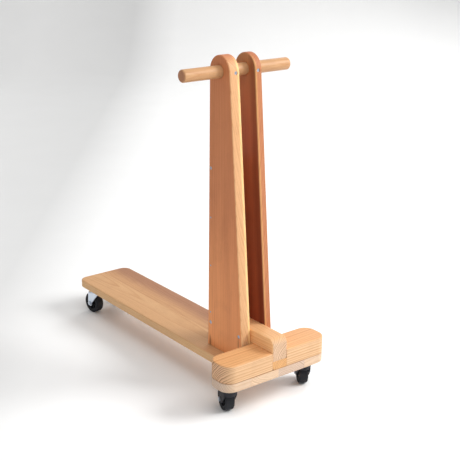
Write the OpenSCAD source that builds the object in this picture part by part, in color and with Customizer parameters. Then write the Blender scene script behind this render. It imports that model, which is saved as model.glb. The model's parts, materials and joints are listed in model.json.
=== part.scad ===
// Rolling wooden stand: a plank and a cross beam form a T on four castors,
// and a pair of tapered uprights on the plank carries a round handle.
// Millimetres. X runs across the stand, Y from the beam to the plank's tail,
// Z up. The origin is on the floor, in the middle of the stand's footprint.

/* [Base] */
// Length from the beam's front face to the plank's tail
base_l = 684; // [560:1:760]
// Thickness of the boards
board_t = 19; // [17:0.5:20]
// Width of the plank, which is glued up from two staves
plank_w = 140; // [138:1:146]
// Corner radius of the plank's tail
plank_r = 20; // [5:1:30]
// Width of the cross beam
beam_w = 266; // [260:1:300]
// Depth of the cross beam, front to back
beam_d = 66; // [60:1:70]
// Height of the cross beam
beam_h = 38; // [36:1:42]
// Corner radius of the beam's outer ends
beam_r = 25; // [5:1:28]

/* [Column] */
// Height of the handle's axis above the plank
handle_rise = 588.4; // [450:0.1:650]
// Thickness of the left upright
left_t = 25; // [18:0.5:28]
// Thickness of the right upright
right_t = 18; // [16:0.5:25]
// Gap between the two uprights, which is also the width of the spine
gap_w = 37.5; // [36:0.5:42]
// Distance of the gap's middle from the middle plane
spine_x = 2.5; // [-3:0.5:3]
// Depth of an upright at its foot
foot_d = 118.6; // [112:0.1:125]
// Radius of an upright's rounded top
top_r = 32; // [26:1:34]
// Distance of the handle's axis behind the front edge of the foot
top_back = 82.6; // [74:0.1:84]
// Clear gap between the beam and the uprights
beam_gap = 1; // [0.5:0.5:4]
// Height of the spine block on its riser
spine_h = 47.5; // [42:0.5:60]
// Radius of the spine block's front top edge
spine_r = 15; // [5:1:20]
// Length of the spacer at the back of the column
spacer_l = 332.4; // [240:0.1:400]
// Thickness of that spacer
spacer_t = 12; // [8:1:14]

/* [Handle] */
// Diameter of the handle
handle_d = 25.4; // [20:0.1:28]
// Length of the handle
handle_l = 264; // [200:1:320]
// Radius of the handle's rounded ends
handle_c = 4; // [1:0.5:6]

/* [Castors] */
// Height of a castor, from the floor to the top of its plate
castor_h = 62; // [62:0.5:70]
// Diameter of a wheel
wheel_d = 50; // [44:1:50]
// Width of a tyre
tyre_w = 20; // [14:1:20]
// Distance of the axle from the swivel axis
trail = 16; // [15:1:18]
// Side of a castor's square plate
plate_w = 38; // [37:0.5:38]
// Distance of a front castor's swivel axis from the middle plane
front_x = 100; // [92:0.5:104]
// Distance of a rear castor's swivel axis from the middle plane
rear_x = 47; // [46:0.5:50]
// Distance of the front swivel axes from the beam's front face
front_inset = 35; // [30:1:36]
// Distance of the rear swivel axes from the plank's tail
rear_inset = 52; // [45:1:80]
// Direction in which the left front wheel trails, from +Y towards -X
front_left_turn = -17; // [-180:1:180]
// Direction in which the right front wheel trails
front_right_turn = -32; // [-180:1:180]
// Direction in which the left rear wheel trails
rear_left_turn = 6; // [-180:1:180]
// Direction in which the right rear wheel trails
rear_right_turn = 6; // [-180:1:180]

/* [Hidden] */
$fn = 64;
over = 1;                       // how far a cutting tool runs past a face
y_front = -base_l / 2;
y_tail = base_l / 2;
z_board = castor_h;             // underside of the boards
z_deck = z_board + board_t;     // top of the plank

// Column, where side is -1 for the left upright and 1 for the right one
function upright_t(side) = side < 0 ? left_t : right_t;
function inner_x(side) = spine_x + side * gap_w / 2;
function outer_x(side) = inner_x(side) + side * upright_t(side);
y_toe = y_front + beam_d + beam_gap;
y_heel = y_toe + foot_d;
y_handle = y_toe + top_back;
z_handle = z_deck + handle_rise;
spine_l = y_heel - y_front - 1;
z_spine = z_deck + board_t;
z_spacer = z_spine + spine_h;
// The back edge of an upright leans in a little towards its top
lean = (foot_d - top_back - top_r) / handle_rise;
spacer_setback = 0.3;           // from that edge, at the spacer's top
y_spacer = y_heel - lean * (z_spacer + spacer_l - z_deck) - spacer_t - spacer_setback;

// Wood screws, each as [shank radius, head radius, head depth, length]
beam_screw = [2.2, 4.2, 2.8, 42];
spine_screw = [2.2, 4.2, 2.8, 52];
lock_screw = [1.9, 3.2, 2.2, 30];
bite = 13;                      // of a side fixing, beyond the upright
function foot_screw(side) = [2.2, 3.6, 2.4, upright_t(side) + bite];
function spacer_screw(side) = [1.9, 3.2, 2.2, upright_t(side) + bite];
nail_r = 1.2;
nail_head_r = 2;
nail_head_t = 1;
nail_tip = 2;
point_r = 0.3;                  // at the tip of a screw or a nail
slot_w = 0.9;                   // of each arm of a screw's recess
slot_d = 1.4;
play = 0.05;                    // radial room around a screw or a nail
beam_screw_x = [34, 58, 79, 121];
beam_screw_y = [0.3, 0.72, 0.14, 0.86];    // as shares of the beam's depth
spine_screw_at = [[9, 24], [-9, 92], [9, 168]];    // from the front face
foot_screw_in = [13.5, 9.6];    // from the foot's front and back edges
foot_screw_rise = 52.5;         // above the plank
lock_screw_in = 9;              // from an upright's inner face
lock_screw_sink = 0.3;          // below the front of the uprights' round tops
spacer_inset = 9.2;             // of the end fixings, from the spacer's ends

// Castor, in a frame of its own: the swivel axis is x = y = 0, the floor is
// z = 0, the axle runs along X and the wheel trails towards +Y
z_axle = wheel_d / 2;
plate_t = 2.2;
z_plate = castor_h - plate_t;
crown_t = 2.2;
z_crown = castor_h - 10.5;
z_race = z_crown + crown_t;
race_h = 3.9;                   // height of the race wall on the crown
race_r = 17.5;
race_wall = 2.1;
ball_r = 2.2;
ball_count = 16;
ball_ring_r = 12.6;
loose = 0.3;                    // gap at the balls and at the pin's head
z_ball = z_race + ball_r + loose;
pin_r = 4;
pin_head_r = 6;
pin_head_t = 2;
rivet_t = 1.5;                  // height of the pin's flared top
rivet_flare = 1.6;
axle_r = 3;
axle_boss_r = 7.5;
bolt_head_r = 5.2;              // across the corners of the hexagon
bolt_head_t = 3;
nut_collar_r = 4.2;
nut_collar_t = 1.2;
leg_x = 11.5;                   // inner face of a fork leg
steel_leg = 2;
nylon_leg = 2.5;
crown_lead = 10;                // reach of the crown's flat part ahead of the pin
crown_tail = 6;                 // and behind the axle
hood_h = 12;                    // depth of the nylon hood below the crown
hood_r = 14;                    // radius of its lower edge
rim_r = wheel_d / 2 - 6;
hub_w = tyre_w - 2;
hub_boss_r = 6.5;
hub_rim_t = 4;
hub_web_w = 6;
hub_gap = 0.3;                  // from the hub's boss to a leg
running = 0.06;                 // radial play of a part that turns on a pin
plate_hole_at = 14.5;           // from the swivel axis, along both sides
plate_screw_r = 1.9;
plate_screw_l = 15;

// Castors, each as [name, x, y, direction, material of the fork]
y_fore = y_front + front_inset;
y_aft = y_tail - rear_inset;
castors = [
    ["front_left", -front_x, y_fore, front_left_turn, "nylon"],
    ["front_right", front_x, y_fore, front_right_turn, "nylon"],
    ["rear_left", -rear_x, y_aft, rear_left_turn, "steel"],
    ["rear_right", rear_x, y_aft, rear_right_turn, "steel"],
];
castor_parts = ["plate", "plate_screws", "balls", "kingpin", "fork",
                "axle_bolt", "axle_nut", "hub", "tyre"];

pale_wood = [0.93, 0.77, 0.58];
warm_wood = [0.87, 0.65, 0.45];
red_wood = [0.72, 0.46, 0.32];
zinc = [0.72, 0.76, 0.82];
steel = [0.52, 0.57, 0.64];
black = [0.10, 0.10, 0.12];

// ---- Shared shapes ----

// A strip from x = 0 to the given length, with round corners at its far end
module round_ended(length, depth, r) {
    square([length - r, depth]);
    translate([0, r]) square([length, depth - 2 * r]);
    for (y = [r, depth - r]) translate([length - r, y]) circle(r = r);
}

// A countersunk wood screw: its face is at the origin and its tip towards +Z
module wood_screw(s) {
    tip = 2 * s[0];
    difference() {
        union() {
            cylinder(r1 = s[1], r2 = s[0], h = s[2]);
            cylinder(r = s[0], h = s[3] - tip);
            translate([0, 0, s[3] - tip]) cylinder(r1 = s[0], r2 = point_r, h = tip);
        }
        drive_recess(s[1]);
    }
}

// The cross-shaped recess in a screw's head
module drive_recess(head_r) {
    arm = 1.15 * head_r;
    for (a = [0, 90]) rotate([0, 0, a])
        translate([-arm / 2, -slot_w / 2, -over]) cube([arm, slot_w, over + slot_d]);
}

// The hole that such a screw fills
module screw_hole(s) {
    translate([0, 0, -over]) cylinder(r = s[1] + play, h = over);
    cylinder(r1 = s[1] + play, r2 = s[0] + play, h = s[2]);
    cylinder(r = s[0] + play, h = s[3] + play);
}

module nail(length) {
    cylinder(r = nail_head_r, h = nail_head_t);
    cylinder(r = nail_r, h = length - nail_tip);
    translate([0, 0, length - nail_tip]) cylinder(r1 = nail_r, r2 = point_r, h = nail_tip);
}

module nail_hole(length) {
    translate([0, 0, -over]) cylinder(r = nail_head_r + play, h = over + nail_head_t);
    cylinder(r = nail_r + play, h = length + play);
}

// ---- Places of the fixings ----

module at_beam_screws() {
    for (side = [-1, 1], i = [0:3])
        translate([side * beam_screw_x[i], y_front + beam_d * beam_screw_y[i], z_board])
            children();
}

module at_spine_screws() {
    for (p = spine_screw_at) translate([p[0], y_front + p[1], z_board]) children();
}

// On one side of the column, pointing inwards
module at_foot_screws(side) {
    for (y = [y_toe + foot_screw_in[0], y_heel - foot_screw_in[1]])
        translate([outer_x(side), y, z_deck + foot_screw_rise])
            rotate([0, -90 * side, 0]) children();
}

// Into the spacer at equal steps, counted from its lower end
module at_spacer(side, steps) {
    pitch = (spacer_l - 2 * spacer_inset) / 3;
    for (i = steps)
        translate([outer_x(side), y_spacer + spacer_t / 2, z_spacer + spacer_inset + i * pitch])
            rotate([0, -90 * side, 0]) children();
}

module at_nails(side) { at_spacer(side, [0, 1, 2]) children(); }
module at_spacer_screw(side) { at_spacer(side, [3]) children(); }

module at_lock_screw(side) {
    translate([inner_x(side) + side * lock_screw_in, y_handle - top_r + lock_screw_sink, z_handle])
        rotate([-90, 0, 0]) children();
}

module at_castor(c) {
    translate([c[1], c[2], 0]) rotate([0, 0, c[3]]) children();
}

// The plates stay square to the boards
module at_plate_screws(c) {
    for (x = [-plate_hole_at, plate_hole_at], y = [-plate_hole_at, plate_hole_at])
        translate([c[1] + x, c[2] + y, z_plate]) children();
}

module plate_screw_holes() {
    for (c = castors)
        at_plate_screws(c) cylinder(r = plate_screw_r + play, h = plate_screw_l + play);
}

// ---- Base ----

// Each half of the base lies on one side of the middle plane, side = -1 or 1
module stave(side) {
    w = plank_w / 2;
    difference() {
        translate([0, 0, z_board]) linear_extrude(board_t) mirror([side < 0 ? 1 : 0, 0]) {
            translate([0, y_front]) square([w, base_l - plank_r]);
            translate([0, y_front]) square([w - plank_r, base_l]);
            translate([w - plank_r, y_tail - plank_r]) circle(r = plank_r);
        }
        at_beam_screws() screw_hole(beam_screw);
        at_spine_screws() screw_hole(spine_screw);
        plate_screw_holes();
    }
}

module plank_left_stave() { color(pale_wood) stave(-1); }
module plank_right_stave() { color(warm_wood) stave(1); }

module foot_board(side) {
    w = plank_w / 2;
    difference() {
        translate([side * w, y_front, z_board]) linear_extrude(board_t)
            mirror([side < 0 ? 1 : 0, 0]) round_ended(beam_w / 2 - w, beam_d, beam_r);
        at_beam_screws() screw_hole(beam_screw);
        plate_screw_holes();
    }
}

module left_foot_board() { color(warm_wood) foot_board(-1); }
module right_foot_board() { color(pale_wood) foot_board(1); }

module half_beam(side) {
    difference() {
        translate([inner_x(side), y_front, z_deck]) linear_extrude(beam_h)
            mirror([side < 0 ? 1 : 0, 0])
                round_ended(beam_w / 2 - side * inner_x(side), beam_d, beam_r);
        at_beam_screws() screw_hole(beam_screw);
    }
}

module cross_beam_left() { color(pale_wood) half_beam(-1); }
module cross_beam_right() { color(pale_wood) half_beam(1); }

module spine_riser() {
    color(warm_wood) difference() {
        translate([inner_x(-1), y_front, z_deck]) cube([gap_w, spine_l, board_t]);
        at_spine_screws() screw_hole(spine_screw);
    }
}

// The block from the side, its length along the first axis
module spine_outline() {
    square([spine_l, spine_h - spine_r]);
    translate([spine_r, 0]) square([spine_l - spine_r, spine_h]);
    translate([spine_r, spine_h - spine_r]) circle(r = spine_r);
}

module spine_block() {
    color(pale_wood) difference() {
        translate([inner_x(-1), y_front, z_spine])
            rotate([90, 0, 90]) linear_extrude(gap_w) spine_outline();
        at_spine_screws() screw_hole(spine_screw);
        for (side = [-1, 1]) at_foot_screws(side) screw_hole(foot_screw(side));
    }
}

// ---- Column ----

// Where a line from point p touches a circle; turn picks one of the two lines
function touch(p, centre, r, turn) =
    let (d = centre - p, reach = sqrt(d * d - r * r),
         a = atan2(d[1], d[0]) + turn * asin(r / norm(d)))
    p + reach * [cos(a), sin(a)];

// A tapered board with a half-round top
module upright_blank(thick) {
    toe = [y_toe, z_deck];
    heel = [y_heel, z_deck];
    top = [y_handle, z_handle];
    rotate([90, 0, 90]) {
        linear_extrude(thick)
            polygon([toe, touch(toe, top, top_r, 1), touch(heel, top, top_r, -1), heel]);
        translate(top) cylinder(r = top_r, h = thick);
    }
}

module upright(side) {
    difference() {
        translate([min(inner_x(side), outer_x(side)), 0, 0]) upright_blank(upright_t(side));
        translate([-handle_l / 2, y_handle, z_handle]) rotate([0, 90, 0])
            cylinder(r = handle_d / 2 + play, h = handle_l);
        at_foot_screws(side) screw_hole(foot_screw(side));
        at_nails(side) nail_hole(upright_t(side) + bite);
        at_spacer_screw(side) screw_hole(spacer_screw(side));
        at_lock_screw(side) screw_hole(lock_screw);
    }
}

module left_upright() { color(red_wood) upright(-1); }
module right_upright() { color(red_wood) upright(1); }

module rear_spacer() {
    color(warm_wood) difference() {
        translate([inner_x(-1), y_spacer, z_spacer]) cube([gap_w, spacer_t, spacer_l]);
        for (side = [-1, 1]) {
            at_nails(side) nail_hole(upright_t(side) + bite);
            at_spacer_screw(side) screw_hole(spacer_screw(side));
        }
    }
}

module handle() {
    r = handle_d / 2;
    color(pale_wood) difference() {
        translate([-handle_l / 2, y_handle, z_handle]) rotate([0, 90, 0]) rotate_extrude() {
            square([r - handle_c, handle_l]);
            translate([0, handle_c]) square([r, handle_l - 2 * handle_c]);
            intersection() {
                for (y = [handle_c, handle_l - handle_c])
                    translate([r - handle_c, y]) circle(r = handle_c);
                square([r, handle_l]);
            }
        }
        for (side = [-1, 1]) at_lock_screw(side) screw_hole(lock_screw);
    }
}

// ---- Screws and nails ----

module beam_screws() { color(steel) at_beam_screws() wood_screw(beam_screw); }
module spine_screws() { color(steel) at_spine_screws() wood_screw(spine_screw); }
module foot_screws() {
    color(steel) for (side = [-1, 1]) at_foot_screws(side) wood_screw(foot_screw(side));
}
module spacer_nails() {
    color(steel) for (side = [-1, 1]) at_nails(side) nail(upright_t(side) + bite);
}
module spacer_screws() {
    color(steel) for (side = [-1, 1]) at_spacer_screw(side) wood_screw(spacer_screw(side));
}
module handle_lock_screws() {
    color(steel) for (side = [-1, 1]) at_lock_screw(side) wood_screw(lock_screw);
}

// ---- Castor ----

// Mounting plate with a stepped boss, which has a groove for the balls
module plate(c) {
    corner = 4;
    step_r = 14.8;
    z_step = z_ball + ball_r - 0.4;
    boss_r = 9.9;
    z_boss = z_race + 2;
    color(zinc) translate([c[1], c[2], 0]) difference() {
        union() {
            translate([0, 0, z_plate]) linear_extrude(plate_t) {
                square([plate_w, plate_w - 2 * corner], center = true);
                square([plate_w - 2 * corner, plate_w], center = true);
                for (x = [-1, 1], y = [-1, 1])
                    translate([x, y] * (plate_w / 2 - corner)) circle(r = corner);
            }
            translate([0, 0, z_step]) cylinder(r = step_r, h = z_plate + over - z_step);
            translate([0, 0, z_boss]) cylinder(r = boss_r, h = z_plate + over - z_boss);
        }
        translate([0, 0, z_ball]) rotate_extrude() translate([ball_ring_r, 0]) circle(r = ball_r);
        translate([0, 0, z_boss - over]) cylinder(r = pin_r, h = castor_h);
        translate([0, 0, castor_h - rivet_t])
            cylinder(r1 = pin_r, r2 = pin_r + rivet_flare, h = rivet_t + 0.1);
        for (x = [-1, 1], y = [-1, 1])
            translate([x * plate_hole_at, y * plate_hole_at, z_plate - over])
                cylinder(r = plate_screw_r + 0.3, h = plate_t + 2 * over);
    }
}

module plate_screws(c) {
    head_r = 3.5;
    head_h = 1.8;
    tip = 3;
    color(steel) at_plate_screws(c) difference() {
        union() {
            translate([0, 0, -0.6]) cylinder(r = head_r, h = 0.6);
            translate([0, 0, -head_h]) cylinder(r1 = head_r - 1, r2 = head_r, h = head_h - 0.6);
            cylinder(r = plate_screw_r, h = plate_screw_l - tip);
            translate([0, 0, plate_screw_l - tip])
                cylinder(r1 = plate_screw_r, r2 = point_r, h = tip);
        }
        translate([0, 0, -head_h]) drive_recess(head_r - 1);
    }
}

module balls(c) {
    color(steel) translate([c[1], c[2], z_ball])
        for (i = [0:ball_count - 1]) rotate([0, 0, i * 360 / ball_count])
            translate([ball_ring_r, 0, 0]) sphere(r = ball_r, $fn = 24);
}

// Riveted into the plate; the fork turns on it
module kingpin(c) {
    z_head = z_crown - loose - pin_head_t;
    flush = 0.1;                // its top lies this far below the plate's
    color(steel) translate([c[1], c[2], 0]) {
        translate([0, 0, z_head]) {
            cylinder(r1 = pin_head_r - 1, r2 = pin_head_r, h = 1);
            translate([0, 0, 1]) cylinder(r = pin_head_r, h = pin_head_t - 1);
            cylinder(r = pin_r, h = castor_h - flush - z_head);
        }
        translate([0, 0, castor_h - rivet_t])
            cylinder(r1 = pin_r, r2 = pin_r + rivet_flare - 0.2, h = rivet_t - flush);
    }
}

// A leg of the steel fork from the side: the way it trails along the first axis
module steel_leg_outline() {
    difference() {
        union() {
            polygon([[-crown_lead, z_race], [-crown_lead, z_crown - 4],
                     [trail - axle_boss_r + 0.4, z_axle - 3], [trail, z_axle],
                     [trail + axle_boss_r, z_axle], [trail + crown_tail, z_race]]);
            translate([trail, z_axle]) circle(r = axle_boss_r);
        }
        translate([trail, z_axle]) circle(r = axle_r + play);
    }
}

// A leg of the nylon fork, deeper at its leading side
module nylon_leg_outline() {
    difference() {
        union() {
            polygon([[-crown_lead, z_race], [-crown_lead + 1, z_crown - hood_h],
                     [5, z_axle - 4], [trail - 3, z_axle - 6.9], [trail, z_axle],
                     [trail + axle_boss_r, z_axle], [trail + crown_tail, z_race]]);
            translate([trail, z_axle]) circle(r = axle_boss_r);
        }
        translate([trail, z_axle]) circle(r = axle_r + play);
    }
}

// Crown, race wall and two legs, with the outline of a leg as the child
module fork_body(leg) {
    difference() {
        union() {
            translate([0, 0, z_crown]) cylinder(r = race_r, h = crown_t + race_h);
            translate([-leg_x - leg, -crown_lead, z_crown])
                cube([2 * (leg_x + leg), crown_lead + trail + crown_tail, crown_t]);
        }
        translate([0, 0, z_race]) cylinder(r = race_r - race_wall, h = race_h + over);
        translate([0, 0, z_crown - over]) cylinder(r = pin_r + running, h = crown_t + 2 * over);
    }
    for (x = [-leg_x - leg, leg_x])
        translate([x, 0, 0]) rotate([90, 0, 90]) linear_extrude(leg) children();
}

// Hood of the nylon fork, open where the wheel runs
module hood() {
    wall = 2;
    z_hood = z_crown - hood_h;
    difference() {
        translate([0, 0, z_hood]) cylinder(r1 = hood_r, r2 = race_r, h = hood_h);
        translate([0, 0, z_hood]) cylinder(r1 = hood_r - wall, r2 = race_r - wall, h = hood_h);
        translate([-leg_x, 0, z_hood - over]) cube([2 * leg_x, race_r + over, hood_h + over]);
    }
}

// Nylon at the front of the stand, pressed steel at the back
module fork(c) {
    if (c[4] == "nylon") color(black) at_castor(c) {
        fork_body(nylon_leg) nylon_leg_outline();
        hood();
    } else color(zinc) at_castor(c) fork_body(steel_leg) steel_leg_outline();
}

// From the wheel's middle plane to the outer face of a leg
function leg_out(c) = leg_x + (c[4] == "nylon" ? nylon_leg : steel_leg);

// The bolt runs through both legs and the hub; its head is on the -X side
module axle_bolt(c) {
    out = leg_out(c);
    color(steel) at_castor(c) translate([0, trail, z_axle]) rotate([0, 90, 0]) {
        translate([0, 0, -out - bolt_head_t]) cylinder(r = bolt_head_r, h = bolt_head_t, $fn = 6);
        translate([0, 0, -out]) cylinder(r = axle_r, h = 2 * out + 4);
    }
}

module axle_nut(c) {
    out = leg_out(c);
    color(steel) at_castor(c) translate([0, trail, z_axle]) rotate([0, 90, 0])
        translate([0, 0, out]) difference() {
            union() {
                cylinder(r = bolt_head_r, h = bolt_head_t, $fn = 6);
                translate([0, 0, bolt_head_t]) cylinder(r = nut_collar_r, h = nut_collar_t);
            }
            translate([0, 0, -over])
                cylinder(r = axle_r + 0.01, h = bolt_head_t + nut_collar_t + 2 * over);
        }
}

// Everything that turns about the axle is drawn along Z and laid over here
module on_axle(c) {
    at_castor(c) translate([0, trail, z_axle]) rotate([0, 90, 0]) children();
}

module hub(c) {
    half = hub_w / 2;
    color(black) on_axle(c) difference() {
        rotate_extrude() {
            translate([0, -hub_web_w / 2]) square([rim_r, hub_web_w]);
            translate([rim_r - hub_rim_t, -half]) square([hub_rim_t, hub_w]);
            translate([0, -leg_x + hub_gap]) square([hub_boss_r, 2 * (leg_x - hub_gap)]);
        }
        translate([0, 0, -leg_x - over]) cylinder(r = axle_r + running, h = 2 * (leg_x + over));
    }
}

module tyre(c) {
    round_r = 3;
    half = tyre_w / 2;
    color(black) on_axle(c) rotate_extrude($fn = 96) {
        translate([rim_r, -half]) square([z_axle - rim_r - round_r, tyre_w]);
        translate([rim_r, -half + round_r]) square([z_axle - rim_r, tyre_w - 2 * round_r]);
        for (y = [-1, 1]) translate([z_axle - round_r, y * (half - round_r)]) circle(r = round_r);
    }
}

plank_left_stave();
plank_right_stave();
left_foot_board();
right_foot_board();
cross_beam_left();
cross_beam_right();
spine_riser();
spine_block();
left_upright();
right_upright();
rear_spacer();
handle();
beam_screws();
spine_screws();
foot_screws();
spacer_nails();
spacer_screws();
handle_lock_screws();
for (c = castors) {
    plate(c);
    plate_screws(c);
    balls(c);
    kingpin(c);
    fork(c);
    axle_bolt(c);
    axle_nut(c);
    hub(c);
    tyre(c);
}
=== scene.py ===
# Rolling wooden stand: looks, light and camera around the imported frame.
# Metres throughout. X runs along the handle, Y from the beam to the plank's tail, Z up.
import json
import math

import bmesh
import bpy
from mathutils import Matrix, Vector


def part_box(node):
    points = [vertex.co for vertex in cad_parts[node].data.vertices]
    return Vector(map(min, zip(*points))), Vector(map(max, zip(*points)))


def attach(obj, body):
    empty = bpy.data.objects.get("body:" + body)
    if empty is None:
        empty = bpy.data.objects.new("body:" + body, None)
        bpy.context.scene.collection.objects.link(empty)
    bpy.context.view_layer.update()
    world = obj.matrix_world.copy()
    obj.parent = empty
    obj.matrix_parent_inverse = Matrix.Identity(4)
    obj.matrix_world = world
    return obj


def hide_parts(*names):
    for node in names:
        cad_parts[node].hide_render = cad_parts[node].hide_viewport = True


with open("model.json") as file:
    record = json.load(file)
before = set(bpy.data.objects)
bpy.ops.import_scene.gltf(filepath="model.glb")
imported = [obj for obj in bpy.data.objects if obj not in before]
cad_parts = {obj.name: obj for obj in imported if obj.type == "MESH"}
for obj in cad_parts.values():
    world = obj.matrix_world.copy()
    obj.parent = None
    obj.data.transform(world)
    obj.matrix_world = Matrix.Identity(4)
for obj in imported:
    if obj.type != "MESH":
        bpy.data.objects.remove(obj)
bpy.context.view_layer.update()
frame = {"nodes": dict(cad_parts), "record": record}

MM = 0.001
X, Y, Z = Vector((1, 0, 0)), Vector((0, 1, 0)), Vector((0, 0, 1))
record = frame["record"]
base_colour = {m["slot"]: m["base_color"] for m in record["materials"]}


# ---- Node trees ----------------------------------------------------------------

class Tree:
    """Short calls for building a material's node tree."""

    def __init__(self, name):
        self.material = bpy.data.materials.new(name)
        self.material.use_nodes = True
        self.nodes = self.material.node_tree.nodes
        self.links = self.material.node_tree.links
        self.nodes.clear()

    def put(self, socket, value):
        if isinstance(value, bpy.types.NodeSocket):
            self.links.new(value, socket)
        else:
            socket.default_value = value

    def node(self, kind, inputs=(), **settings):
        n = self.nodes.new(kind)
        for key, value in settings.items():
            setattr(n, key, value)
        for key, value in dict(inputs).items():
            self.put(n.inputs[key], value)
        return n

    def math(self, operation, a, b=0.0, clamp=False):
        n = self.node("ShaderNodeMath", {0: a, 1: b}, operation=operation, use_clamp=clamp)
        return n.outputs[0]

    def vector(self, operation, a, b=(0, 0, 0)):
        n = self.node("ShaderNodeVectorMath", {0: a, 1: b}, operation=operation)
        return n.outputs["Value" if operation in ("LENGTH", "DOT_PRODUCT") else "Vector"]

    def noise(self, vector, scale, detail=2.0, roughness=0.5, distortion=0.0):
        return self.node("ShaderNodeTexNoise", {
            "Vector": vector, "Scale": scale, "Detail": detail,
            "Roughness": roughness, "Distortion": distortion})

    def ramp(self, factor, stops):
        """stops is a list of (place, value or colour)."""
        n = self.node("ShaderNodeValToRGB", {"Fac": factor})
        elements = n.color_ramp.elements
        while len(elements) < len(stops):
            elements.new(0.5)
        for element, (place, colour) in zip(elements, stops):
            element.position = place
            if not isinstance(colour, (tuple, list)):
                colour = (colour, colour, colour)
            element.color = (*colour, 1)
        return n.outputs["Color"]

    def mix(self, factor, a, b, blend="MIX"):
        n = self.node("ShaderNodeMix", data_type="RGBA", blend_type=blend)
        self.put(n.inputs["Factor"], factor)
        self.put(n.inputs["A"], a)
        self.put(n.inputs["B"], b)
        return n.outputs["Result"]

    def remap(self, value, low, high, to_low, to_high):
        n = self.node("ShaderNodeMapRange", {
            "Value": value, "From Min": low, "From Max": high,
            "To Min": to_low, "To Max": to_high})
        return n.outputs["Result"]

    def surface(self, inputs, bump=None, strength=1.0, distance=0.0002):
        shader = self.node("ShaderNodeBsdfPrincipled", inputs)
        if bump is not None:
            normal = self.node("ShaderNodeBump", {
                "Height": bump, "Strength": strength, "Distance": distance})
            self.links.new(normal.outputs["Normal"], shader.inputs["Normal"])
        out = self.node("ShaderNodeOutputMaterial")
        self.links.new(shader.outputs["BSDF"], out.inputs["Surface"])
        return self.material


def mixed(a, b, share):
    return tuple(p + (q - p) * share for p, q in zip(a, b))


# Early and late wood and end grain, as multiples of a board's own tone
EARLY, LATE, END_GRAIN = (1.09, 1.12, 1.15), (0.82, 0.68, 0.54), (0.93, 0.98, 1.10)


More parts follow.
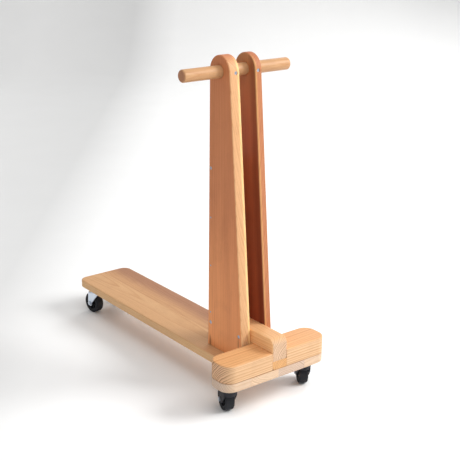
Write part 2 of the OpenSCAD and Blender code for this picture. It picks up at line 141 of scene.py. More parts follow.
def wood(name, grain, tone, pith, ring=3.0, tilt=(0.0, 0.0), contrast=1.0, wander=1.0,
         pores=0.22, patches=(), end_tint=END_GRAIN, stains_and_shade_spots=(), seed=0.0, gloss=0.5):
    """Sawn softwood as a solid: growth rings round a pith that runs along grain.

    tone is its colour all in all. pith is the pith's place across the grain, and ring the
    width of a ring, in millimetres. tilt leans the pith against the board, and wander
    bends it, so that the rings run out on the board's faces. pores is how much darker the
    pores are. Each tint patch is (faces, along,
    start, end, tint): the tint of the faces that look along one axis, or of all faces if
    None, growing between two places along an axis or a vector, or everywhere if None.
    Most of these tints are painted light and shade: faces made lighter or darker for how
    the lamps fall on them, and painted highlights and shadow lines. Each dark spot is
    (place, reach, share); some are stains, some painted shade in gaps between pieces.
    """
    light = tuple(c * k for c, k in zip(tone, EARLY))
    dark = tuple(c * k for c, k in zip(tone, LATE))
    t = Tree(name)
    place = t.node("ShaderNodeTexCoord").outputs["Object"]
    # Millimetres, with the third axis along the grain
    turn = {"X": (0, -math.pi / 2, 0), "Y": (math.pi / 2, 0, 0), "Z": (0, 0, 0)}[grain]
    along = t.node("ShaderNodeMapping", {
        "Vector": place, "Rotation": turn, "Scale": (1000, 1000, 1000)}).outputs["Vector"]
    lean = t.node("ShaderNodeMapping", {
        "Vector": along, "Location": (-pith[0], -pith[1], 0),
        "Rotation": (math.radians(tilt[0]), math.radians(tilt[1]), 0)}).outputs["Vector"]
    shifted = t.vector("ADD", lean, (seed * 37.0, seed * 91.0, seed * 53.0))

    # Slow wander of the rings, longer along the grain than across it
    slow = t.vector("MULTIPLY", shifted, (0.012, 0.012, 0.0022))
    bend = t.noise(slow, 1.0, detail=2.0).outputs["Color"]
    bend = t.vector("MULTIPLY", t.vector("SUBTRACT", bend, (0.5, 0.5, 0.5)),
                    (26 * wander, 26 * wander, 0))
    quick = t.vector("MULTIPLY", shifted, (0.10, 0.10, 0.006))
    ripple = t.noise(quick, 1.0, detail=3.0).outputs["Color"]
    ripple = t.vector("MULTIPLY", t.vector("SUBTRACT", ripple, (0.5, 0.5, 0.5)), (2.0, 2.0, 0))
    bent = t.vector("ADD", t.vector("ADD", lean, bend), ripple)
    radius = t.vector("LENGTH", t.vector("MULTIPLY", bent, (1, 1, 0)))

    # Years differ in width
    years = t.math("DIVIDE", radius, ring)
    uneven = t.node("ShaderNodeTexNoise", {"W": t.math("MULTIPLY", years, 0.31), "Scale": 1.0,
                                           "Detail": 1.0}, noise_dimensions="1D")
    years = t.math("ADD", years, t.math("MULTIPLY", uneven.outputs["Fac"], 2.2))
    phase = t.math("FRACT", years)
    late = t.ramp(phase, [(0.0, 0.10), (0.08, 0.0), (0.45, 0.10), (0.72, 0.42),
                          (0.90, 1.0), (0.965, 0.95), (1.0, 0.10)])
    # Some years are darker than others
    year = t.node("ShaderNodeTexWhiteNoise", {"W": t.math("FLOOR", years)},
                  noise_dimensions="1D").outputs["Value"]
    late = t.math("MULTIPLY", late, t.remap(year, 0, 1, 0.55 * contrast, contrast))

    # Fibres, pores and broad drifts of tone
    fibre_at = t.vector("MULTIPLY", shifted, (1.5, 1.5, 0.02))
    fibre = t.noise(fibre_at, 1.0, detail=4.0, roughness=0.65).outputs["Fac"]
    fine_at = t.vector("MULTIPLY", shifted, (5.0, 5.0, 0.09))
    fine = t.noise(fine_at, 1.0, detail=2.0, roughness=0.6).outputs["Fac"]
    pore_at = t.vector("MULTIPLY", shifted, (1.9, 1.9, 0.10))
    cells = t.node("ShaderNodeTexVoronoi", {"Vector": pore_at, "Scale": 1.0, "Randomness": 1.0})
    pore = t.remap(cells.outputs["Distance"], 0.10, 0.20, 1.0, 0.0)
    lot = t.node("ShaderNodeSeparateColor", {"Color": cells.outputs["Color"]}).outputs["Red"]
    pore = t.math("MULTIPLY", pore, t.math("GREATER_THAN", lot, 0.72))
    drift = t.noise(t.vector("MULTIPLY", shifted, (0.035, 0.035, 0.004)), 1.0,
                    detail=3.0).outputs["Fac"]

    colour = t.mix(late, (*light, 1), (*dark, 1))
    colour = t.mix(t.remap(drift, 0.3, 0.7, 0.0, 0.5), colour,
                   (*mixed(light, dark, 0.42), 1))
    value = t.math("ADD", t.remap(fibre, 0.25, 0.75, 0.90, 1.10),
                   t.remap(fine, 0.3, 0.7, -0.05, 0.05))
    value = t.math("SUBTRACT", value, t.math("MULTIPLY", pore, pores))
    scaled = t.node("ShaderNodeVectorMath", {0: colour, "Scale": value}, operation="SCALE")
    colour = scaled.outputs["Vector"]

    # End grain is greyer, and its rings stand out
    normal = t.node("ShaderNodeTexCoord").outputs["Normal"]
    axis = {"X": (1, 0, 0), "Y": (0, 1, 0), "Z": (0, 0, 1)}[grain]
    end = t.math("ABSOLUTE", t.vector("DOT_PRODUCT", normal, axis))
    end = t.math("POWER", end, 3.0)
    colour = t.mix(end, colour, (*end_tint, 1), "MULTIPLY")
    colour = t.mix(t.math("MULTIPLY", end, t.math("MULTIPLY", late, 0.8)), colour,
                   (*[c * 0.42 for c in dark], 1))
    units = {"X": X, "Y": Y, "Z": Z}
    # Tints by facing and by place: most are painted light and shade, lighter or darker faces for how
    # the lamps fall, and painted highlights and shadow lines; some are the wood's own tone
    for faces, direction, start, stop, tint in patches:
        share = 1.0
        if direction:
            way = units[direction] if isinstance(direction, str) else Vector(direction)
            at = t.vector("DOT_PRODUCT", place, way / MM)
            at = t.math("ADD", at, t.remap(drift, 0.3, 0.7, -0.15 * abs(stop - start),
                                           0.15 * abs(stop - start)))
            share = t.remap(at, start, stop, 0.0, 1.0)
        if faces:
            facing = t.math("ABSOLUTE", t.vector("DOT_PRODUCT", normal, units[faces]))
            share = t.math("MULTIPLY", share, t.remap(facing, 0.3, 0.9, 0.0, 1.0))
        colour = t.mix(share, colour, t.vector("MULTIPLY", colour, tint))

    # Handling marks; then dark spots: real stains, and painted shade in the gaps between pieces
    smudge = t.noise(t.vector("MULTIPLY", place, (1000, 1000, 1000)), 0.02,
                     detail=5.0, roughness=0.6).outputs["Fac"]
    colour = t.mix(t.remap(smudge, 0.52, 0.75, 0.0, 0.16), colour,
                   (*[c * 0.6 for c in dark], 1))
    for spot, reach, share in stains_and_shade_spots:
        away = t.vector("SUBTRACT", place, tuple(spot))
        away = t.vector("DIVIDE", away, tuple(reach))
        mask = t.remap(t.vector("LENGTH", away), 0.35, 1.0, share, 0.0)
        mask = t.math("MULTIPLY", mask, t.remap(fibre, 0.35, 0.6, 0.4, 1.0))
        colour = t.mix(mask, colour, (0.06, 0.022, 0.010, 1))

    rough = t.math("ADD", t.remap(fibre, 0.3, 0.7, gloss + 0.06, gloss - 0.04),
                   t.math("MULTIPLY", end, 0.14))
    relief = t.math("ADD", t.math("MULTIPLY", fibre, 0.45), t.math("MULTIPLY", fine, 0.25))
    relief = t.math("SUBTRACT", relief, t.math("MULTIPLY", pore, 0.5))
    relief = t.math("ADD", relief, t.math("MULTIPLY", late, 0.25))
    return t.surface({"Base Color": colour, "Roughness": rough, "IOR": 1.45,
                      "Specular IOR Level": 0.28},
                     bump=relief, strength=0.5, distance=0.00018)


def metal(name, colour, rough, grain_scale=900.0, metallic=1.0, speck=0.10):
    """Plated or drawn metal with faint handling wear."""
    t = Tree(name)
    place = t.node("ShaderNodeTexCoord").outputs["Object"]
    cloud = t.noise(place, 160.0, detail=4.0, roughness=0.6).outputs["Fac"]
    grit = t.noise(place, grain_scale, detail=3.0).outputs["Fac"]
    tone = t.mix(t.remap(cloud, 0.35, 0.7, 0.0, 1.0),
                 (*[c * (1 - speck) for c in colour], 1), (*colour, 1))
    wear = t.remap(cloud, 0.3, 0.7, rough - 0.06, rough + 0.10)
    return t.surface({"Base Color": tone, "Metallic": metallic, "Roughness": wear},
                     bump=grit, strength=0.25, distance=0.00005)


def moulded(name, colour, rough, relief=0.3):
    """Moulded plastic or rubber with a fine spark-eroded grain and a little dust."""
    t = Tree(name)
    place = t.node("ShaderNodeTexCoord").outputs["Object"]
    grain = t.noise(place, 2600.0, detail=2.0, roughness=0.6).outputs["Fac"]
    dust = t.noise(place, 120.0, detail=5.0, roughness=0.7).outputs["Fac"]
    shade = t.mix(t.remap(dust, 0.5, 0.8, 0.0, 0.35), (*colour, 1),
                  (*[c * 1.9 + 0.01 for c in colour], 1))
    dull = t.remap(dust, 0.4, 0.75, rough, rough + 0.16)
    return t.surface({"Base Color": shade, "Roughness": dull, "IOR": 1.5,
                      "Specular IOR Level": 0.3},
                     bump=grain, strength=relief, distance=0.00004)


# ---- Mesh building -------------------------------------------------------------

def new_object(name, mesh, material=None):
    obj = bpy.data.objects.new(name, mesh)
    bpy.context.scene.collection.objects.link(obj)
    if material:
        obj.data.materials.clear()
        obj.data.materials.append(material)
    return obj


def bake_modifiers(obj):
    """Replaces the object's mesh with the result of its modifiers."""
    bpy.context.view_layer.update()
    graph = bpy.context.evaluated_depsgraph_get()
    mesh = bpy.data.meshes.new_from_object(obj.evaluated_get(graph))
    old = obj.data
    obj.modifiers.clear()
    obj.data = mesh
    bpy.data.meshes.remove(old)
    return obj


def shade(obj, angle=32.0):
    """Smooth where faces meet at less than the angle, with flat faces kept flat."""
    for face in obj.data.polygons:
        face.use_smooth = True
    obj.data.set_sharp_from_angle(angle=math.radians(angle))
    weigh = obj.modifiers.new("Weighted normals", "WEIGHTED_NORMAL")
    weigh.mode = "FACE_AREA"
    weigh.weight = 90
    weigh.keep_sharp = True
    return bake_modifiers(obj)


def fillet(points, radii, segments=20):
    """The closed outline with each corner rounded to its own radius."""
    out = []
    for i, here in enumerate(points):
        here = Vector(here)
        r = radii[i]
        if r == 0:
            out.append(here)
            continue
        before = (Vector(points[i - 1]) - here).normalized()
        after = (Vector(points[(i + 1) % len(points)]) - here).normalized()
        half = before.angle(after) / 2
        centre = here + (before + after).normalized() * (r / math.sin(half))
        a = here + before * (r / math.tan(half)) - centre
        b = here + after * (r / math.tan(half)) - centre
        sweep = a.angle_signed(b)
        steps = max(2, round(segments * abs(sweep) / (math.pi / 2)))
        for k in range(steps + 1):
            angle = -sweep * k / steps
            c, s = math.cos(angle), math.sin(angle)
            out.append(centre + Vector((c * a.x - s * a.y, s * a.x + c * a.y)))
    return out


def prism(name, outline, low, high, ease, axes=(X, Y, Z), segments=5):
    """A solid from an outline in the first two axes, between low and high on the third.

    ease(place, along) gives the rounding of an edge from its middle point and whether
    it runs along the third axis; 0 leaves the edge sharp.
    """
    u, v, w = axes
    bm = bmesh.new()
    verts = [bm.verts.new(u * p[0] + v * p[1] + w * low) for p in outline]
    base = bm.faces.new(verts)
    grown = bmesh.ops.extrude_face_region(bm, geom=[base])
    top = [g for g in grown["geom"] if isinstance(g, bmesh.types.BMVert)]
    bmesh.ops.translate(bm, verts=top, vec=w * (high - low))
    bmesh.ops.recalc_face_normals(bm, faces=bm.faces)
    weight = bm.edges.layers.float.new("bevel_weight_edge")
    sizes = {}
    for edge in bm.edges:
        a, b = edge.verts
        upright = abs((b.co - a.co).normalized().dot(w)) > 0.99
        if upright and edge.calc_face_angle() < math.radians(25):
            continue
        sizes[edge] = ease((a.co + b.co) / 2, upright)
    largest = max(list(sizes.values()) + [0])
    for edge, size in sizes.items():
        edge[weight] = size / largest if largest else 0
    mesh = bpy.data.meshes.new(name)
    bm.to_mesh(mesh)
    bm.free()
    obj = new_object(name, mesh)
    if largest:
        bevel = obj.modifiers.new("Bevel", "BEVEL")
        bevel.limit_method = "WEIGHT"
        bevel.width = largest
        bevel.segments = segments
        bevel.use_clamp_overlap = False
        bevel.miter_outer = "MITER_ARC"
        bake_modifiers(obj)
    return obj


def turned(name, profile, origin, axis, steps=48, closed=False):
    """A solid of revolution. profile is a list of (radius, distance along the axis).

    closed joins the last point to the first, for a ring; otherwise both ends run to the axis.
    """
    axis = Vector(axis).normalized()
    side = axis.orthogonal().normalized()
    other = axis.cross(side)
    bm = bmesh.new()
    rings = []
    for radius, along in profile:
        centre = Vector(origin) + axis * along
        if radius < 1e-7:
            rings.append([bm.verts.new(centre)])
            continue
        ring = []
        for k in range(steps):
            angle = 2 * math.pi * k / steps
            ring.append(bm.verts.new(
                centre + (side * math.cos(angle) + other * math.sin(angle)) * radius))
        rings.append(ring)
    pairs = list(zip(rings, rings[1:]))
    if closed:
        pairs.append((rings[-1], rings[0]))
    for a, b in pairs:
        for k in range(steps):
            nxt = (k + 1) % steps
            if len(a) == 1 and len(b) > 1:
                bm.faces.new((a[0], b[nxt], b[k]))
            elif len(b) == 1 and len(a) > 1:
                bm.faces.new((a[k], a[nxt], b[0]))
            elif len(a) > 1:
                bm.faces.new((a[k], a[nxt], b[nxt], b[k]))
    if not closed:
        if len(rings[0]) > 1:
            bm.faces.new(rings[0])
        if len(rings[-1]) > 1:
            bm.faces.new(rings[-1])
    bmesh.ops.recalc_face_normals(bm, faces=bm.faces)
    mesh = bpy.data.meshes.new(name)
    bm.to_mesh(mesh)
    bm.free()
    return new_object(name, mesh)


def arc(centre, radius, start, end, steps=6):
    """Points on an arc in a profile, with angles in degrees."""
    out = []
    for k in range(steps + 1):
        a = math.radians(start + (end - start) * k / steps)
        out.append((centre[0] + radius * math.cos(a), centre[1] + radius * math.sin(a)))
    return out


def boolean(obj, operation, others):
    """Applies a boolean with each of the other objects, and removes them."""
    for other in others:
        cut = obj.modifiers.new("Boolean", "BOOLEAN")
        cut.operation = operation
        cut.solver = "EXACT"
        cut.object = other
    bake_modifiers(obj)
    for other in others:
        bpy.data.objects.remove(other)
    return obj


def join(name, objects):
    """One object from several that stay separate solids."""
    bm = bmesh.new()
    for obj in objects:
        mesh = obj.data
        mesh.transform(obj.matrix_world)
        bm.from_mesh(mesh)
    mesh = bpy.data.meshes.new(name)
    bm.to_mesh(mesh)
    bm.free()
    for obj in objects:
        bpy.data.objects.remove(obj)
    return new_object(name, mesh)


def centre_on(obj, place):
    """Moves the object's origin, and not its shape, so that its material starts there."""
    obj.data.transform(Matrix.Translation(-Vector(place)))
    obj.location = place
    return obj


def finish_piece(obj, body, nodes, material, slot):
    obj.data.materials.clear()
    obj.data.materials.append(material)
    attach(obj, body)
    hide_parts(*nodes)
    return obj


# ---- Sizes that the frame gives -------------------------------------------------

def solids(node):
    """(lowest corner, highest corner) of each separate solid in a CAD node."""
    obj = frame["nodes"][node]
    bm = bmesh.new()
    bm.from_mesh(obj.data)
    bm.transform(obj.matrix_world)
    bmesh.ops.remove_doubles(bm, verts=bm.verts, dist=1e-6)
    bm.verts.ensure_lookup_table()
    seen, found = set(), []
    for start in bm.verts:
        if start in seen:
            continue
        seen.add(start)
        pile, group = [start], []
        while pile:
            vert = pile.pop()
            group.append(vert.co.copy())
            for edge in vert.link_edges:
                other = edge.other_vert(vert)
                if other not in seen:
                    seen.add(other)
                    pile.append(other)
        low = Vector([min(p[i] for p in group) for i in range(3)])
        high = Vector([max(p[i] for p in group) for i in range(3)])
        found.append((low, high))
    bm.free()
    return found


def corners(node):
    low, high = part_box(node)
    return Vector(low), Vector(high)


def middle(box):
    return (box[0] + box[1]) / 2


handle_box = corners("handle")
handle_axis = middle(handle_box)
handle_r = (handle_box[1].z - handle_box[0].z) / 2
beam_box = corners("cross_beam_right")
plank_box = corners("plank_right_stave")
left_face = corners("left_upright")[0].x
board_bottom, deck, beam_top = plank_box[0].z, plank_box[1].z, beam_box[1].z
front, tail = plank_box[0].y, plank_box[1].y
beam_back = beam_box[1].y

BEAM_CORNER = 25 * MM           # radius of the beam's ends, seen from above
TAIL_CORNER = 20 * MM           # radius of the plank's tail corners
SPINE_NOSE = 15 * MM            # radius of the block's front top edge
HANDLE_END = 4 * MM             # radius of the handle's ends
HAIR = 0.1 * MM                 # slack that keeps a fitted piece off its hole


# ---- Wood -----------------------------------------------------------------------

PALE = (0.69, 0.44, 0.25)
GOLDEN = (0.60, 0.355, 0.18)
TAN = (0.42, 0.225, 0.13)
ASH = (0.66, 0.475, 0.33)
ORANGE = (0.70, 0.39, 0.18)
RED = (0.58, 0.213, 0.088)
DEEP = (0.49, 0.165, 0.068)
BEECH = (0.51, 0.28, 0.135)


def near(a, b):
    return abs(a - b) < 0.05 * MM


def plank_stave(side, name):
    """Half of the plank. Its seam stays sharp; its long edge is round behind the beam."""
    low, high = corners(name)
    outer = high.x if side > 0 else low.x
    points = [(0, front), (outer, front), (outer, beam_back), (outer, tail), (0, tail)]
    outline = fillet(points, [0, 0, 0, TAIL_CORNER, 0])

    def ease(p, upright):
        if near(p.x, 0) or (near(p.x, outer) and p.y < beam_back):
            return 0.3 * MM if near(p.x, outer) and upright else 0
        if upright:
            return 0
        if near(p.y, front):
            return 1.0 * MM if p.z > board_bottom + MM else 2.2 * MM
        return 3 * MM

    return prism(name + "_board", outline, low.z, high.z, ease)


def foot_board(side, name):
    low, high = corners(name)
    outer, inner = (high.x, low.x) if side > 0 else (low.x, high.x)
    points = [(inner, front), (outer, front), (outer, beam_back), (inner, beam_back)]
    outline = fillet(points, [0, BEAM_CORNER, BEAM_CORNER, 0])

    def ease(p, upright):
        if near(p.x, inner):
            return 0.3 * MM if upright else 0
        return 1.0 * MM if p.z > board_bottom + MM else 2.2 * MM

    return prism(name + "_piece", outline, low.z, high.z, ease)


def beam_half(side, name):
    low, high = corners(name)
    outer, inner = (high.x, low.x) if side > 0 else (low.x, high.x)
    points = [(inner, front), (outer, front), (outer, beam_back), (inner, beam_back)]
    outline = fillet(points, [0, BEAM_CORNER, BEAM_CORNER, 0], segments=24)

    def ease(p, upright):
        if near(p.x, inner):
            return 0.5 * MM
        return 3.5 * MM if p.z > deck + MM else 1.2 * MM

    return prism(name + "_block", outline, low.z, high.z, ease, segments=6)


def chip(obj, corner, width):
    """A small dark gap at a corner, where the piece's edge has broken out."""
    bm = bmesh.new()
    bmesh.ops.create_icosphere(bm, subdivisions=2, radius=width)
    bmesh.ops.transform(bm, matrix=Matrix.Translation(corner) @ Matrix.Diagonal((1, 4, 1, 1)),
                        verts=bm.verts)
    mesh = bpy.data.meshes.new("chip")
    bm.to_mesh(mesh)
    bm.free()
    return boolean(obj, "DIFFERENCE", [new_object("chip", mesh)])


def riser():
    low, high = corners("spine_riser")
    points = [(low.x, low.y), (high.x, low.y), (high.x, high.y), (low.x, high.y)]

    def ease(p, upright):
        if not near(p.y, low.y) and not upright:
            return 0.4 * MM
        return 1.1 * MM if p.x < 0 and upright else 0.6 * MM

    strip = prism("spine_riser_strip", points, low.z, high.z, ease)
    return chip(strip, low, 2.2 * MM)


def spine_block():
    """Drawn from the side, so that its nose is part of the outline."""
    low, high = corners("spine_block")
    points = [(low.y, low.z), (high.y, low.z), (high.y, high.z), (low.y, high.z)]
    outline = fillet(points, [0, 0, 0, SPINE_NOSE], segments=16)

    def ease(p, along):
        if along:
            return 0.8 * MM
        if p.z > low.z + MM:
            return 2.2 * MM if p.y < high.y - MM else MM
        return 0.5 * MM

    block = prism("spine_block_solid", outline, low.x, high.x, ease, axes=(Y, Z, X))
    return chip(block, (high.x, low.y, low.z), 1.8 * MM)


def touch(point, centre, radius, turn):
    """Where a line from a point touches a circle; turn, -1 or 1, picks the side."""
    away = Vector(centre) - Vector(point)
    reach = math.sqrt(away.length_squared - radius ** 2)
    angle = math.atan2(away.y, away.x) + turn * math.asin(radius / away.length)
    return Vector(point) + reach * Vector((math.cos(angle), math.sin(angle)))


def upright(side, name):
    """A tapered board with a half-round top, bored for the handle."""
    low, high = corners(name)
    top = (handle_axis.y, handle_axis.z)
    radius = high.z - handle_axis.z
    toe, heel = (low.y, low.z), (high.y, low.z)
    a, b = touch(heel, top, radius, -1), touch(toe, top, radius, 1)
    start = math.atan2(b.y - top[1], b.x - top[0])
    end = math.atan2(a.y - top[1], a.x - top[0])
    steps = 56
    crown = [Vector((top[0] + radius * math.cos(start + (end - start) * k / steps),
                     top[1] + radius * math.sin(start + (end - start) * k / steps)))
             for k in range(steps + 1)]
    outline = [Vector(heel), Vector(toe)] + crown

    def ease(p, along):
        if along:
            return 0.6 * MM
        return 3 * MM if p.z > low.z + MM else 0.6 * MM

    board = prism(name + "_board", outline, low.x, high.x, ease, axes=(Y, Z, X), segments=6)
    lip = 0.7 * MM
    bore = handle_r + HAIR
    inner, outer = low.x, high.x
    profile = [(0, inner - 5 * MM), (bore + lip + 5 * MM, inner - 5 * MM),
               (bore + lip, inner), (bore, inner + lip), (bore, outer - lip),
               (bore + lip, outer), (bore + lip + 5 * MM, outer + 5 * MM),
               (0, outer + 5 * MM)]
    hole = turned("bore", profile, (0, handle_axis.y, handle_axis.z), X, steps=64)
    return boolean(board, "DIFFERENCE", [hole])


def spacer():
    low, high = corners("rear_spacer")
    points = [(low.x, low.y), (high.x, low.y), (high.x, high.y), (low.x, high.y)]

    def ease(p, upright):
        return 0.8 * MM if upright else 1.2 * MM

    return prism("rear_spacer_board", points, low.z, high.z, ease)


def handle():
    length = handle_box[1].x - handle_box[0].x
    r, e = handle_r, HANDLE_END
    profile = [(0, 0)] + arc((r - e, e), e, -90, 0, 8)
    profile += [(r, length * k / 24) for k in range(1, 24)]
    profile += arc((r - e, length - e), e, 0, 90, 8) + [(0, length)]
    origin = (handle_box[0].x, handle_axis.y, handle_axis.z)
    return turned("handle_dowel", profile, origin, X, steps=72)


# ---- Screws and nails -----------------------------------------------------------

def cross_recess(size, depth, place, axis):
    """A cutter for the cross in a screw's head, tapered like a driver's tip."""
    axis = Vector(axis)
    side = axis.orthogonal().normalized()
    other = axis.cross(side)
    bars = []
    for long, short in ((side, other), (other, side)):
        bm = bmesh.new()
        rings = []
        for along, a, b in ((-0.6 * MM, size, size * 0.24), (depth, size * 0.42, size * 0.12)):
            rings.append([bm.verts.new(Vector(place) + axis * along + long * (a * i) + short * (b * j))
                          for i, j in ((-1, -1), (1, -1), (1, 1), (-1, 1))])
        bm.faces.new(rings[0])
        bm.faces.new(rings[1])
        for k in range(4):
            bm.faces.new((rings[0][k], rings[0][(k + 1) % 4], rings[1][(k + 1) % 4], rings[1][k]))
        bmesh.ops.recalc_face_normals(bm, faces=bm.faces)
        mesh = bpy.data.meshes.new("bar")
        bm.to_mesh(mesh)
        bm.free()
        bars.append(new_object("bar", mesh))
    return bars


def screw(place, axis, head, shank, length, sink):
    """A countersunk screw: its face lies sink below place, and its tip points along axis."""
    dome = 0.12 * MM
    profile = [(0, sink - dome), (head * 0.7, sink - dome * 0.5), (head, sink + 0.1 * MM),
               (head, sink + 0.35 * MM), (shank, sink + head - shank + 0.35 * MM),
               (shank, length - 2 * shank), (0, length)]
    body = turned("screw", profile, place, axis, steps=32)
    return boolean(body, "DIFFERENCE",
                   cross_recess(head * 0.58, sink + 1.3 * MM, place, axis))


def nail(place, axis, head, shank, length, sink):
    profile = [(0, sink), (head - 0.2 * MM, sink), (head, sink + 0.2 * MM),
               (head, sink + 0.9 * MM), (shank, sink + 1.2 * MM), (shank, length - 2 * MM),
               (0, length)]
    return turned("nail", profile, place, axis, steps=24)


def pocket(place, axis, radius, depth):
    """A cutter for the countersink that a head sits in."""
    profile = [(0, -2 * MM), (radius + 0.35 * MM + 2 * MM, -2 * MM), (radius + 0.35 * MM, 0),
               (radius, 0.35 * MM), (radius, depth), (0, depth)]
    return turned("pocket", profile, place, axis, steps=32)


FIXINGS = {  # node: (axis of the fixing, radius of its head, of its shank, depth of its face)
    "foot_screws": (X, 3.6 * MM, 2.2 * MM, 0.5 * MM),
    "spacer_nails": (X, 2.0 * MM, 1.2 * MM, 0.4 * MM),
    "spacer_screws": (X, 3.2 * MM, 1.9 * MM, 0.5 * MM),
    "handle_lock_screws": (Y, 3.2 * MM, 1.9 * MM, 0.5 * MM),
    "beam_screws": (Z, 4.2 * MM, 2.2 * MM, 0.6 * MM),
    "spine_screws": (Z, 4.2 * MM, 2.2 * MM, 0.6 * MM),
}


def fixings(node):
    """[(place of the head, direction, length)] for each solid of a node."""
    axis = FIXINGS[node][0]
    out = []
    for low, high in solids(node):
        centre, length = (low + high) / 2, (high - low).dot(axis)
        inwards = -axis if axis == X and centre.x > 0 else axis
        out.append((centre - inwards * length / 2, inwards, length))
    return out


def cut_pockets(board, *nodes):
    """Sinks the heads' pockets into a board, where they lie on it."""
    low = Vector([min(v.co[i] for v in board.data.vertices) for i in range(3)])
    high = Vector([max(v.co[i] for v in board.data.vertices) for i in range(3)])
    cutters = []
    for node in nodes:
        _, head, _, sink = FIXINGS[node]
        for place, axis, _ in fixings(node):
            probe = place + axis * MM
            if all(low[i] <= probe[i] <= high[i] for i in range(3)):
                cutters.append(pocket(place, axis, head + 0.15 * MM, sink + 1.2 * MM))
    return boolean(board, "DIFFERENCE", cutters) if cutters else board


def fixing_piece(node):
    axis, head, shank, sink = FIXINGS[node]
    make = nail if node == "spacer_nails" else screw
    return join(node + "_heads", [make(place, way, head, shank, length, sink)
                                  for place, way, length in fixings(node)])


# ---- Castors --------------------------------------------------------------------
# Each piece is made once, in millimetres, with the swivel axis as Z, the floor at 0, the
# axle along X and the wheel trailing towards +Y. It is then set down at each castor.

TRAIL, AXLE_Z, WHEEL_R, TYRE_HALF = 16, 25, 25, 10
PLATE_TOP, PLATE_LOW, CROWN_TOP, CROWN_LOW = 62, 59.8, 53.7, 51.5
RACE_TOP, RACE_R, RACE_WALL = 57.6, 17.5, 2.1
BALL_R, BALL_Z, BALL_RING = 2.2, 56.2, 12.6
PIN_R, PIN_HOLE, AXLE_R = 4, 4.06, 3
LEG_IN, STEEL_LEG, NYLON_LEG = 11.5, 2.0, 2.5
HOLE_AT = 14.5                  # of the plate's screws, from the swivel axis


def soften(obj, width, segments=2, angle=40):
    bevel = obj.modifiers.new("Bevel", "BEVEL")
    bevel.limit_method = "ANGLE"
    bevel.angle_limit = math.radians(angle)
    bevel.width = width
    bevel.segments = segments
    bevel.harden_normals = False
    return bake_modifiers(obj)


def rod(radius, place, axis, low, high, steps=32):
    return turned("rod", [(0, low), (radius, low), (radius, high), (0, high)],
                  place, axis, steps)


def plate():
    """Pressed plate with a dimpled bearing seat and four screw holes."""
    half = 19
    square = fillet([(-half, -half), (half, -half), (half, half), (-half, half)], [4] * 4, 10)
    sheet = prism("plate", square, PLATE_LOW, PLATE_TOP, lambda p, along: 0 if along else 0.5,
                  segments=3)
    low, step = CROWN_TOP + 2, PLATE_LOW - 1.8
    seat = turned("seat", [(0, low), (9.1, low), (9.9, low + 0.8), (9.9, step)]
                  + arc((BALL_RING, BALL_Z), BALL_R + 0.15, 130, 50, 8)
                  + [(14.4, step), (14.8, step + 0.4), (15.3, step + 1.0), (16.2, step + 1.6),
                     (16.8, PLATE_LOW + 0.2), (0, PLATE_LOW + 0.2)], (0, 0, 0), Z, 48)
    boolean(sheet, "UNION", [seat])
    holes = [rod(2.3, (x, y, 0), Z, PLATE_LOW - 2, PLATE_TOP + 1, 20)
             for x in (-HOLE_AT, HOLE_AT) for y in (-HOLE_AT, HOLE_AT)]
    return boolean(sheet, "DIFFERENCE", holes)


def plate_screws():
    parts = []
    for x in (-HOLE_AT, HOLE_AT):
        for y in (-HOLE_AT, HOLE_AT):
            pan = turned("pan", [(0, -1.85), (1.6, -1.75), (2.7, -1.35), (3.35, -0.6),
                                 (3.35, -0.02), (1.9, 0), (1.9, 12), (0, 15)],
                         (x, y, PLATE_LOW), Z, 24)
            recess = cross_recess(1.9 * MM, 1.1 * MM, (0, 0, 0), Z)
            for bar in recess:
                bar.data.transform(Matrix.Scale(1 / MM, 4))
                bar.data.transform(Matrix.Translation((x, y, PLATE_LOW - 1.8)))
            parts.append(boolean(pan, "DIFFERENCE", recess))
    return join("plate_screws", parts)


def balls():
    parts = []
    for k in range(16):
        bm = bmesh.new()
        bmesh.ops.create_uvsphere(bm, u_segments=16, v_segments=10, radius=BALL_R)
        a = 2 * math.pi * k / 16
        bmesh.ops.translate(bm, verts=bm.verts,
                            vec=(BALL_RING * math.cos(a), BALL_RING * math.sin(a), BALL_Z))
        mesh = bpy.data.meshes.new("ball")
        bm.to_mesh(mesh)
        bm.free()
        parts.append(new_object("ball", mesh))
    return join("balls", parts)


def kingpin():
    low, head = CROWN_LOW - 2.3, 6
    profile = [(0, low), (head - 1.6, low), (head - 0.4, low + 0.5), (head, low + 1.1),
               (head, low + 1.7), (head - 0.3, low + 2), (PIN_R, low + 2),
               (PIN_R, PLATE_TOP - 1.5), (PIN_R + 1.3, PLATE_TOP - 0.1), (0, PLATE_TOP - 0.1)]
    return turned("kingpin", profile, (0, 0, 0), Z, 40)


def race_cup():
    """The turned part of a fork: crown, race wall with a rolled lip, and pin hole."""
    inner = RACE_R - RACE_WALL
    profile = [(PIN_HOLE, CROWN_LOW), (RACE_R - 1.6, CROWN_LOW)]
    profile += arc((RACE_R - 1.6, CROWN_LOW + 1.6), 1.6, -90, 0, 5)
    profile += arc((RACE_R - 0.9, RACE_TOP - 0.9), 0.9, 0, 90, 4)
    profile += arc((inner + 0.6, RACE_TOP - 0.6), 0.6, 90, 180, 3)
    profile += arc((inner - 1.0, CROWN_TOP + 1.0), 1.0, 0, -90, 4)
    profile += [(PIN_HOLE, CROWN_TOP)]
    return turned("cup", profile, (0, 0, 0), Z, 64, closed=True)


def channel(leg, bend):
    """An upside-down U of bent sheet, long enough to cut the legs from."""
    out, low = LEG_IN + leg, 5
    inner = max(0.8, bend - leg)
    u = fillet([(-out, low), (-out, CROWN_TOP), (out, CROWN_TOP), (out, low),
                (LEG_IN, low), (LEG_IN, CROWN_LOW), (-LEG_IN, CROWN_LOW), (-LEG_IN, low)],
               [0, bend, bend, 0, 0, inner, inner, 0], 8)
    return prism("channel", u, -30, 40, lambda p, along: 0, axes=(X, Z, Y))


